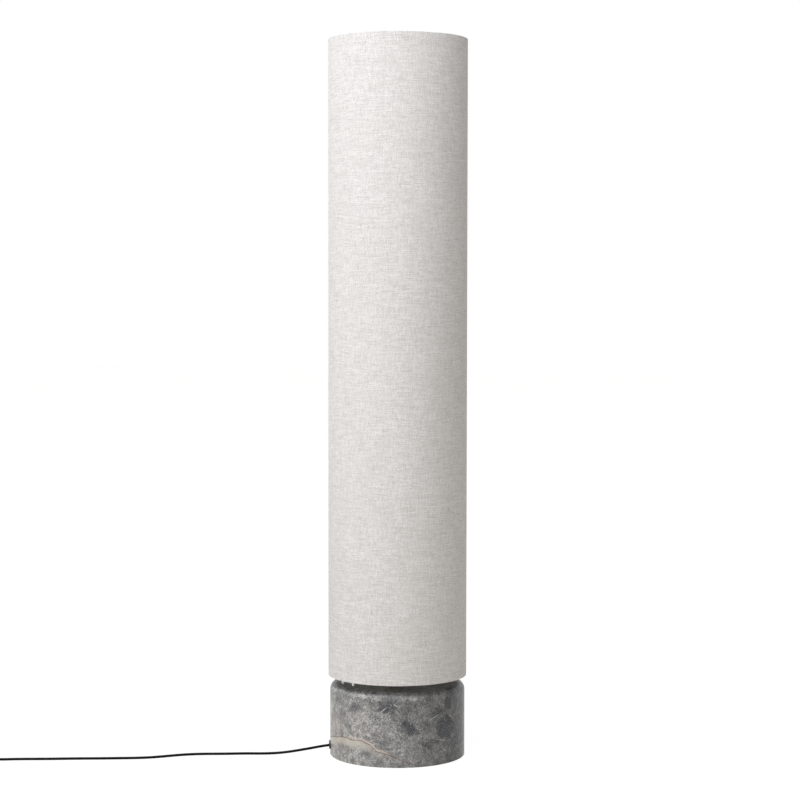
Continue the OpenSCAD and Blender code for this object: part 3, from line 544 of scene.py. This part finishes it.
# The net of cracks: borders of cells, by scale, reach of the warp, width and weight, and then
# wandering hairlines, by scale, width and weight. It is denser on the left.
left_share = (side.fade(-50.0, 30.0) + round_back) * (height.fade(80.0, 112.0) * 0.16 + 0.24) + 0.44
nets = ((26.0, 0.020, 0.022, 0.5), (62.0, 0.014, 0.05, 0.5), (360.0, 0.0035, 0.2, 0.45))
hairlines = ((30.0, 0.018, 0.6), (75.0, 0.026, 0.75), (210.0, 0.045, 0.8))
plain = (1.0 - clouds_and_painted_shade * 0.85) * (lumps * 0.6 + 0.4)
for scale, reach, width, weight in nets:
    line = marble.place.warped(scale * 0.8, reach).borders(scale).fade(0.0, width)
    here = marble.place.noise(scale * 0.4, 3.0, 0.6).step(0.44, 0.6)
    stone = (line * here * left_share * plain * weight).mix(stone, rgb(214, 212, 208))
for scale, width, weight in hairlines:
    line = marble.place.warped(scale * 0.7, 0.6 / scale).ridges(scale, width)
    here = marble.place.noise(scale * 0.5, 2.0, 0.5).step(0.4, 0.6)
    stone = (line * here * left_share * plain * weight).mix(stone, rgb(232, 230, 226))

# Each longer pale streak by azimuth, level, length, thickness, lean and raggedness.
streaks = sum(blot(*line) for line in (
    (-1, 104, 5, 0.7, -35, 1.0), (16, 69, 6, 0.7, -60, 1.0), (20, 64, 5, 0.8, 10, 1.0),
    (33, 82, 13, 0.8, 25, 0.7), (24, 50, 14, 0.6, -20, 0.7), (40, 42, 14, 0.6, -15, 0.7),
    (2, 57, 17, 0.6, -38, 0.7), (-12, 96, 10, 0.7, 40, 0.8), (52, 78, 9, 0.7, -30, 0.8)))
stone = (streaks.math("MINIMUM", 1.0) * crumb.step(0.42, 0.56) * 0.7).mix(stone, rgb(222, 220, 216))
left_crack = ((round_front + 66.0) * mm_per_degree + wobble * 6.0 + drift * 4.0).math("ABSOLUTE")
crack_reach = height.step(40.0, 52.0) * height.fade(70.0, 82.0)
stone = (left_crack.fade(2.0, 14.0) * crack_reach * 0.45).mix(stone, rgb(186, 170, 163))
stone = (left_crack.fade(0.3, 3.5) * crack_reach * crumb.step(0.4, 0.6) * 0.8).mix(stone, rgb(122, 96, 88))

# The vein's height in millimetres along the front, by degrees from the middle.
vein_route = [(-100, 27), (-79, 33.5), (-70, 37.4), (-59.5, 41.5), (-53.6, 43.2), (-48.4, 43.6),
              (-42.3, 41.9), (-38, 42.2), (-32, 43.0), (-28, 40.7), (-23.4, 37.4), (-19.5, 31.9),
              (-17.5, 28.0), (-13.6, 26.0), (-7.2, 22.6), (-1, 17.6), (7.3, 10.6), (15, 5.6), (24, 0.0)]
vein_start, vein_end, vein_top = -100.0, 24.0, 60.0
share_round = (round_front - vein_start) / (vein_end - vein_start)
vein_points = [((azimuth - vein_start) / (vein_end - vein_start), level / vein_top)
               for azimuth, level in vein_route]
vein_height = marble.node("FloatCurve", {"points": vein_points}, i1=share_round) * vein_top
off_vein = height - vein_height - wobble * 0.6 - drift * 0.4
on_route = round_front.step(-104.0, -96.0) * round_front.fade(16.0, 26.0)
near_bend = (round_front + 25.0).math("ABSOLUTE").fade(6.0, 24.0)
above = off_vein.step(-1.0, 1.0) * off_vein.fade(0.5, 7.0) * near_bend
below = (off_vein + wobble * 4.0).step(-16.0, -7.0) * off_vein.fade(-2.5, 0.5) * round_front.fade(-40.0, 2.0)
stone = (below * on_route * (crumb.step(0.35, 0.6) * 0.5 + 0.4)).mix(stone, rgb(194, 188, 178))
stone = (above * on_route * 0.85).mix(stone, rgb(206, 192, 185))
rust = (off_vein + (crumb - 0.5) * 2.5).math("ABSOLUTE").fade(0.2, 1.3) * on_route
stone = (rust * (wobble * 0.3 + 0.75)).mix(stone, rgb(108, 84, 74))
marble.feed(Base_Color=stone, Roughness=grain * 0.16 + 0.3, Coat_Weight=crumb.step(0.3, 0.7) * 0.4)
marble.bump(grain, 0.02 * MM, 0.4)
dress(marble, "stone_base")

# ---- Under the stone
# A ring of pressed black felt is glued round the edge of the underside, and a zinc-plated steel
# disc closes the wiring pocket with four countersunk screws in brass inserts.
felt = Finish("pressed_felt", Roughness=1.0, Sheen_Weight=0.3)
felt.shader.inputs["Specular IOR Level"].default_value = 0.1
fibre = felt.place.warped(900.0, 0.002).noise(1500.0, 3.0, 0.7)
felt.feed(Base_Color=fibre.step(0.35, 0.7).mix(rgb(22, 22, 23), rgb(48, 47, 46)))
felt.bump(fibre, 0.3 * MM, 0.8)
felt_low, felt_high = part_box("felt_ring")
felt_in, felt_out = 82.0 * MM, felt_high.x
start("plane", size=1.0, location=((felt_in + felt_out) / 2, 0.0, (felt_low.z + felt_high.z) / 2),
      rotation=(math.radians(90.0), 0.0, 0.0))
bpy.ops.transform.resize(value=(felt_out - felt_in, 1.0, felt_high.z - felt_low.z))
bpy.ops.mesh.bevel(offset=0.3 * MM, segments=2, affect="VERTICES")
bpy.ops.mesh.spin(steps=128, angle=2.0 * math.pi, center=(0.0, 0.0, 0.0), axis=(0.0, 0.0, 1.0),
                  use_auto_merge=True)
bpy.ops.mesh.select_all(action="SELECT")
bpy.ops.mesh.remove_doubles(threshold=0.001 * MM)
finished("felt_pad", felt, "base", ("felt_ring",), angle=50.0)


def metal(name, light, dark, rough, lay=(1.0, 1.0, 1.0), fine=700.0, depth=0.01):
    """A metal with fine marks: lay stretches them along an axis, as a tool or a brush leaves them."""
    finish = Finish(name, Metallic=1.0)
    marks = finish.place.scaled(*lay).noise(fine, 3.0, 0.6)
    cloud = finish.place.noise(60.0, 3.0)
    finish.feed(Base_Color=(marks * 0.6 + cloud * 0.4).step(0.15, 0.85).mix(dark, light),
                Roughness=marks * 0.2 + (rough - 0.1))
    finish.bump(marks, depth * MM, 0.5)
    return finish


def plastic(name, light, dark, rough, fine=1300.0, depth=0.03, shine=0.4):
    """A moulded plastic with a fine sparked texture."""
    finish = Finish(name)
    finish.shader.inputs["Specular IOR Level"].default_value = shine
    texture = finish.place.noise(fine, 2.0, 0.6)
    cloud = finish.place.noise(25.0, 2.0)
    finish.feed(Base_Color=cloud.step(0.3, 0.7).mix(dark, light), Roughness=texture * 0.16 + (rough - 0.08))
    finish.bump(texture, depth * MM, 0.6)
    return finish


zinc = metal("zinc_plate", rgb(196, 197, 200), rgb(158, 160, 164), 0.34, (1.0, 1.0, 1.0), 260.0)
brass = metal("turned_brass", rgb(205, 172, 104), rgb(176, 140, 78), 0.3, (1.0, 1.0, 6.0))
dress(zinc, "bottom_cover", "cover_screws", "nipple_nut", "nipple_washer", "pole_nipple", "clamp_screws",
      "terminal_screws")
dress(brass, "cover_inserts")

# ---- Cord gland
# A flanged bush of dark grey nylon in the side of the stone, held by a zinc-plated nut inside.
# Behind it the cord runs through a screwed clamp to the terminal block.
nylon_grey = plastic("gland_nylon", rgb(62, 63, 65), rgb(46, 47, 49), 0.5)
thermoplastic = plastic("holder_plastic", rgb(226, 225, 220), rgb(214, 212, 206), 0.38)
dress(nylon_grey, "cable_gland")
dress(zinc, "gland_nut")
dress(thermoplastic, "cord_clamp", "terminal_block")
dress(sheath, "base_cord")

# ---- Pole, foot and carrier
# A satin steel tube in a dark painted foot on the stone. The carrier clamped low on the pole
# holds four white nylon pegs inside the lower ring, whose tips show in the gap at the left.
satin = metal("satin_steel", rgb(190, 190, 192), rgb(160, 160, 163), 0.32, (1.0, 1.0, 40.0), 90.0)
paint = plastic("dark_enamel", rgb(48, 48, 50), rgb(38, 38, 40), 0.42, 600.0, 0.04)
nylon_white = plastic("white_nylon", rgb(240, 240, 238), rgb(232, 231, 228), 0.4)
dress(satin, "pole", "pole_cap")
dress(paint, "pole_foot", "shade_carrier")
dress(nylon_white, "carrier_pegs")
dress(zinc, "grub_screws")

# ---- Rings, spider and finial
# Galvanised wire rings glued into the turned edges of the shade. Three sloping arms are welded
# to the upper ring and to a hub, which the finial holds down on the pole's stud.
wire = metal("galvanised_wire", rgb(200, 201, 203), rgb(166, 168, 171), 0.4, (1.0, 1.0, 1.0), 500.0, 0.03)
dress(wire, "shade_spider", "shade_bottom_ring")
dress(satin, "finial", "finial_washer")
weld = metal("weld_bead", rgb(120, 118, 116), rgb(84, 80, 78), 0.5, (1.0, 1.0, 1.0), 900.0, 0.1)
spider_low, spider_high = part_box("shade_spider")
ring_wire_r, hub_r, weld_r = 1.5 * MM, 14.0 * MM, 1.9 * MM
ring_r = spider_high.x - ring_wire_r


def copied(piece, name, body, turn=0.0, move=(0.0, 0.0, 0.0), grow=(1.0, 1.0, 1.0),
           about=(0.0, 0.0, 0.0), replaces=()):
    """A copy with a mesh of its own: grown about a point, turned round the lamp's axis, then moved."""
    bpy.ops.object.select_all(action="DESELECT")
    piece.select_set(True)
    bpy.context.view_layer.objects.active = piece
    bpy.ops.object.duplicate()
    twin = bpy.context.object
    if "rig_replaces" in twin:
        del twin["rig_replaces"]
    bpy.ops.object.mode_set(mode="EDIT")
    bpy.ops.mesh.select_all(action="SELECT")
    bpy.ops.transform.resize(value=grow, center_override=about)
    bpy.ops.transform.rotate(value=-math.radians(turn), orient_axis="Z", center_override=(0.0, 0.0, 0.0))
    bpy.ops.transform.translate(value=move)
    bpy.ops.object.mode_set(mode="OBJECT")
    twin.name = name
    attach(twin, body)
    if replaces:
        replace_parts(twin, *replaces)
    return twin


# A weld bead at each end of the first arm, which lies at that azimuth, and copies on the others.
arm_azimuth = math.radians(150.0)
ring_end = Vector((ring_r - 1.2 * MM, 0.0, spider_high.z - 1.9 * MM))
hub_end = Vector((hub_r - 2.6 * MM, 0.0, spider_low.z + 2.6 * MM))
along_arm = Vector((math.cos(arm_azimuth), math.sin(arm_azimuth), 0.0))
start("ico_sphere", subdivisions=3, radius=weld_r,
      location=along_arm * ring_end.x + Vector((0.0, 0.0, ring_end.z)))
bpy.ops.transform.resize(value=(1.15, 1.15, 0.8))
bpy.ops.transform.vertex_random(offset=0.15 * MM, uniform=0.5, seed=7)
ring_weld = finished("spider_weld_1_ring", weld, "shade", angle=60.0)
to_hub = along_arm * (hub_end.x - ring_end.x) + Vector((0.0, 0.0, hub_end.z - ring_end.z))
hub_weld = copied(ring_weld, "spider_weld_1_hub", "shade", move=to_hub)
for k in (2, 3):
    copied(ring_weld, "spider_weld_%d_ring" % k, "shade", turn=120.0 * (k - 1))
    copied(hub_weld, "spider_weld_%d_hub" % k, "shade", turn=120.0 * (k - 1))

# ---- Wiring and lampholders
# Three white leads run up inside the pole and out to three E27 holders. Each holder is a moulded
# plastic cup with a brass screw shell, held by its stem on the shelf of a steel angle bracket.
lead_skin = plastic("lead_silicone", rgb(232, 231, 228), rgb(222, 221, 217), 0.5)
dress(lead_skin, "lead_1", "lead_2", "lead_3")
dress(zinc, "bracket_1", "bracket_2", "bracket_3", "bracket_screws")
dress(brass, "holder_1_contacts", "holder_2_contacts", "holder_3_contacts")
cup_low, cup_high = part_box("holder_1_shell")
level_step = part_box("holder_2_shell")[0].z - cup_low.z
cup_axis = ((cup_low.x + cup_high.x) / 2, (cup_low.y + cup_high.y) / 2)


def built_up(axis, foot, rings, sides=96):
    """A round solid drawn up from a disc: millimetres from the axis and above the foot, ring by ring."""
    (before, low), rest = rings[0], rings[1:]
    start("circle", vertices=sides, radius=before * MM, fill_type="NGON", location=(*axis, foot + low * MM))
    for radius, high in rest:
        bpy.ops.mesh.extrude_region_move(TRANSFORM_OT_translate={"value": (0.0, 0.0, (high - low) * MM)})
        bpy.ops.transform.resize(value=(radius / before, radius / before, 1.0),
                                 center_override=(*axis, foot + high * MM))
        before, low = radius, high


# The outline starts in the hole of the stem, goes round the outside and ends on the bore's floor.
built_up(cup_axis, cup_low.z, [
    (3.0, 5.0), (3.0, 0.0), (4.6, 0.0), (5.0, 0.4), (5.0, 6.0), (12.2, 6.0), (13.2, 6.4), (14.2, 7.6),
    (16.3, 10.8), (16.8, 12.0), (17.0, 13.6), (17.0, 24.0), (16.6, 24.3), (16.5, 24.8), (16.6, 25.3),
    (17.0, 25.6), (17.0, 42.8), (16.8, 43.6), (16.2, 44.0), (14.9, 44.0), (14.3, 43.8), (14.0, 43.2),
    (14.0, 15.0)])
cup = finished("holder_cup_1", thermoplastic, "base", ("holder_1_shell",), angle=40.0)
for k in (2, 3):
    copied(cup, "holder_cup_%d" % k, "base", turn=120.0 * (k - 1), move=(0.0, 0.0, level_step * (k - 1)),
           replaces=("holder_%d_shell" % k,))

# ---- Bulbs
# Three LED bulbs: a nickel-plated screw cap, a white plastic housing that widens in a smooth
# curve, and an opal plastic dome snapped on top with a fine joint all round.
nickel = metal("nickel_plate", rgb(206, 204, 198), rgb(182, 179, 172), 0.26, depth=0.003)
opal = Finish("opal_dome", Roughness=0.3, Subsurface_Weight=0.4, Subsurface_Radius=(0.004, 0.004, 0.004))
opal_haze = opal.place.noise(90.0, 3.0)
opal.feed(Base_Color=opal_haze.step(0.3, 0.7).mix(rgb(238, 237, 232), rgb(245, 244, 240)),
          Roughness=opal_haze * 0.1 + 0.22)
dress(nickel, "bulb_1_cap", "bulb_2_cap", "bulb_3_cap")
housing_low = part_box("bulb_1_housing")[0]
built_up(cup_axis, housing_low.z, [
    (13.3, 0.0), (13.7, 0.2), (13.9, 0.8), (14.3, 4.0), (14.2, 4.6), (13.8, 4.8), (13.8, 5.4),
    (14.3, 5.6), (14.6, 7.0), (15.2, 11.0), (16.2, 15.5), (17.7, 20.0), (19.6, 24.5), (21.7, 29.0),
    (23.8, 33.5), (25.7, 38.0), (27.2, 42.5), (28.1, 46.0), (28.3, 47.2), (28.0, 48.0)])
housing = finished("bulb_housing_1", thermoplastic, "bulb_1", ("bulb_1_housing",),
                   angle=40.0)
globe_low, globe_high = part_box("bulb_1_globe")
globe_r = (globe_high.x - globe_low.x) / 2 / MM
globe_tall = (globe_high.z - globe_low.z) / MM
dome = [(28.0, 0.0), (28.35, 0.3), (28.9, 1.6), (29.6, 3.7)]
dome_rings, ring_apart = 24, 3.8
for k in range(dome_rings):
    rise = math.radians(ring_apart * k)
    dome.append((globe_r * math.cos(rise), globe_tall - globe_r + globe_r * math.sin(rise)))
dome.append((0.4, globe_tall))
built_up(cup_axis, globe_low.z, dome)
globe = finished("bulb_dome_1", opal, "bulb_1", ("bulb_1_globe",), angle=40.0)
for k in (2, 3):
    for piece, word, node in ((housing, "housing", "housing"), (globe, "dome", "globe")):
        copied(piece, "bulb_%s_%d" % (word, k), "bulb_%d" % k, turn=120.0 * (k - 1),
               move=(0.0, 0.0, level_step * (k - 1)), replaces=("bulb_%d_%s" % (k, node),))

# ---- Foot switch
# A round black plastic housing in two halves, screwed together from below, with a large button
# in the middle and a ribbed boot on each side. The button stands on a wire spring.
black_shell = plastic("switch_plastic", rgb(27, 27, 28), rgb(21, 21, 22), 0.46, shine=0.16)
button_shell = plastic("button_plastic", rgb(46, 46, 48), rgb(38, 38, 40), 0.4, 1700.0, 0.02, 0.2)
spring_steel = metal("spring_steel", rgb(170, 170, 172), rgb(140, 140, 143), 0.3)
dress(black_shell, "switch_base", "switch_cover")
dress(button_shell, "switch_button")
dress(zinc, "switch_screws")
switch_place = Vector((switch_face[0] + switch_half, switch_face[1], 0.0)) * MM
entry_z = switch_face[2] * MM

# The spring is wound from wire in five turns.
spring_low, spring_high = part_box("switch_spring")
wire_r, button_travel, spring_turns = 0.4 * MM, 3.0 * MM, 5
wound_r = (spring_high.x - spring_low.x) / 2 - wire_r
wound_h = spring_high.z - spring_low.z - 2.0 * wire_r
start("circle", vertices=12, radius=wire_r, location=(switch_place.x, switch_place.y, spring_low.z + wire_r))
bpy.ops.transform.rotate(value=math.radians(90.0), orient_axis="X",
                         center_override=bpy.context.object.location)
bpy.ops.transform.translate(value=(wound_r, 0.0, 0.0))
modify("SCREW", axis="Z", angle=2.0 * math.pi, screw_offset=wound_h / spring_turns,
       iterations=spring_turns, steps=24, render_steps=24)
bpy.ops.mesh.select_all(action="SELECT")
bpy.ops.mesh.fill_holes(sides=0)
spring = finished("button_spring", spring_steel, "base", ("switch_spring",), angle=60.0)
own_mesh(spring)


def turned_ring(name, place, radius, half, finish, body, along_x=True):
    """A thin raised ring, a little flattened, round the X axis, or round Z: half is its half thickness."""
    flat = 0.85
    start("torus", major_segments=64, minor_segments=10, major_radius=radius, minor_radius=half,
          location=place, rotation=(0.0, math.radians(90.0) if along_x else 0.0, 0.0))
    bpy.ops.transform.resize(value=(flat, 1.0, 1.0) if along_x else (1.0, 1.0, flat), center_override=place)
    return finished(name, finish, body, angle=60.0)


# Five ribs round each boot of the switch, smaller towards the cord.
rib_count, rib_step, rib_out, rib_r, rib_shrink = 5, 3.2 * MM, 33.0 * MM, 4.34 * MM, 0.079
first_place = switch_place + Vector((-rib_out, 0.0, entry_z))
first_rib = turned_ring("switch_boot_left_rib_1", first_place, rib_r, 0.55 * MM, black_shell, "base")
for word, across, way in (("left", 0.0, -1.0), ("right", 2.0 * rib_out, 1.0)):
    for k in range(rib_count):
        out = rib_step * k
        narrow = 1.0 - rib_shrink * out / rib_r
        if (word, k) != ("left", 0):
            copied(first_rib, "switch_boot_%s_rib_%d" % (word, k + 1), "base", grow=(1.0, narrow, narrow),
                   about=first_place, move=(across + way * out, 0.0, 0.0))
button_top = switch_place + Vector((0.0, 0.0, 25.0 * MM))
rim = turned_ring("button_rim", button_top, 9.4 * MM, 0.45 * MM, button_shell, "switch_button",
                  False)
copied(rim, "button_ring", "switch_button", grow=(0.575, 0.575, 1.0), about=button_top)
turned_ring("switch_seam", switch_place + Vector((0.0, 0.0, 3.2 * MM)), 29.85 * MM, 0.3 * MM, black_shell,
            "base", False)

# ---- Strap and plug
# A soft black strap closes round the wound turns. The moulded plug has two round nickel-plated
# pins, finger ribs on its sides and a ribbed boot where the cord leaves it.
weave = Finish("woven_strap", Roughness=0.95)
strap_lines = (weave.z / (0.7 * MM) * math.pi).math("SINE") * (weave.y / (0.7 * MM) * math.pi).math("SINE")
fluff = weave.place.noise(1800.0, 2.0)
weave.feed(Base_Color=(strap_lines * 0.3 + fluff).step(0.3, 0.8).mix(rgb(24, 24, 26), rgb(48, 48, 50)))
weave.bump(strap_lines * 0.5 + fluff, 0.15 * MM, 0.7)
strap_in, strap_out, strap_wide = -877.0 * MM, -895.95 * MM, 12.0 * MM
strap_low, strap_top = 0.62 * MM, 9.48 * MM
start("plane", size=1.0, rotation=(math.radians(90.0), 0.0, 0.0),
      location=((strap_in + strap_out) / 2, coil_centre.y * MM - strap_wide / 2, (strap_low + strap_top) / 2))
bpy.ops.transform.resize(value=(strap_in - strap_out, 1.0, strap_top - strap_low))
bpy.ops.mesh.bevel(offset=2.0 * MM, segments=5, affect="VERTICES")
bpy.ops.mesh.delete(type="ONLY_FACE")
bpy.ops.mesh.select_all(action="SELECT")
bpy.ops.mesh.extrude_region_move(TRANSFORM_OT_translate={"value": (0.0, strap_wide, 0.0)})
bpy.ops.mesh.select_all(action="SELECT")
bpy.ops.mesh.normals_make_consistent(inside=False)
modify("SOLIDIFY", thickness=0.55 * MM, offset=1.0)
rounded(0.15 * MM, 2)
finished("coil_strap", weave, "base", ("coil_tie",), angle=50.0)

plug_shell = plastic("plug_plastic", rgb(26, 26, 27), rgb(20, 20, 21), 0.44, 900.0, shine=0.16)
plug_low, plug_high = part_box("plug_body")
plug_middle = Vector((0.0, (plug_low.y + plug_high.y) / 2, (plug_low.z + plug_high.z) / 2))
block_back, block_front, rib_proud = -748.0 * MM, plug_high.x, 0.5 * MM
block_wide = plug_high.y - plug_low.y - 2.0 * rib_proud
start("cube", size=1.0, location=plug_middle + Vector(((block_back + block_front) / 2, 0.0, 0.0)))
bpy.ops.transform.resize(value=(block_front - block_back, block_wide, plug_high.z - plug_low.z))
bpy.ops.mesh.bevel(offset=5.6 * MM, segments=7, profile=0.5)
finished("plug_block", plug_shell, "base", ("plug_body",), angle=60.0)
boot_end, boot_root = plug_low.x, block_back + 5.0 * MM
boot_long = boot_root - boot_end
end_r, root_r = 3.1 * MM, 6.2 * MM
start("cone", vertices=48, radius1=end_r, radius2=root_r, depth=boot_long,
      location=plug_middle + Vector(((boot_end + boot_root) / 2, 0.0, 0.0)),
      rotation=(0.0, math.radians(90.0), 0.0))
bpy.ops.mesh.bevel(offset=0.6 * MM, segments=3)
finished("plug_boot", plug_shell, "base", angle=50.0)

# Five ribs round the boot, wider towards the block, and five finger ribs on each side of the block.
first_share, share_step = 0.08, 0.14
boot_start = plug_middle + Vector((boot_end + first_share * boot_long, 0.0, 0.0))
boot_rib_r = end_r + first_share * (root_r - end_r)
boot_rib = turned_ring("plug_boot_rib_1", boot_start, boot_rib_r, 0.6 * MM, plug_shell, "base")
finger_size = (1.5 * MM, 1.2 * MM, 7.0 * MM)
finger_first, finger_step = 8.0 * MM, 3.0 * MM
to_near = plug_middle.y - plug_high.y + finger_size[1] / 2
to_far = -2.0 * to_near
start("cube", size=1.0, location=plug_middle + Vector((block_back + finger_first, to_near, 0.0)))
bpy.ops.transform.resize(value=finger_size)
bpy.ops.mesh.bevel(offset=0.4 * MM, segments=3)
finger_rib = finished("plug_rib_near_1", plug_shell, "base", angle=60.0)
copied(finger_rib, "plug_rib_far_1", "base", move=(0.0, to_far, 0.0))
for k in range(1, rib_count):
    share = share_step * k
    wider = 1.0 + share * (root_r - end_r) / boot_rib_r
    copied(boot_rib, "plug_boot_rib_%d" % (k + 1), "base", grow=(1.0, wider, wider), about=boot_start,
           move=(share * boot_long, 0.0, 0.0))
    copied(finger_rib, "plug_rib_near_%d" % (k + 1), "base", move=(finger_step * k, 0.0, 0.0))
    copied(finger_rib, "plug_rib_far_%d" % (k + 1), "base", move=(finger_step * k, to_far, 0.0))
dress(nickel, "plug_pins")

measured(supply_line)
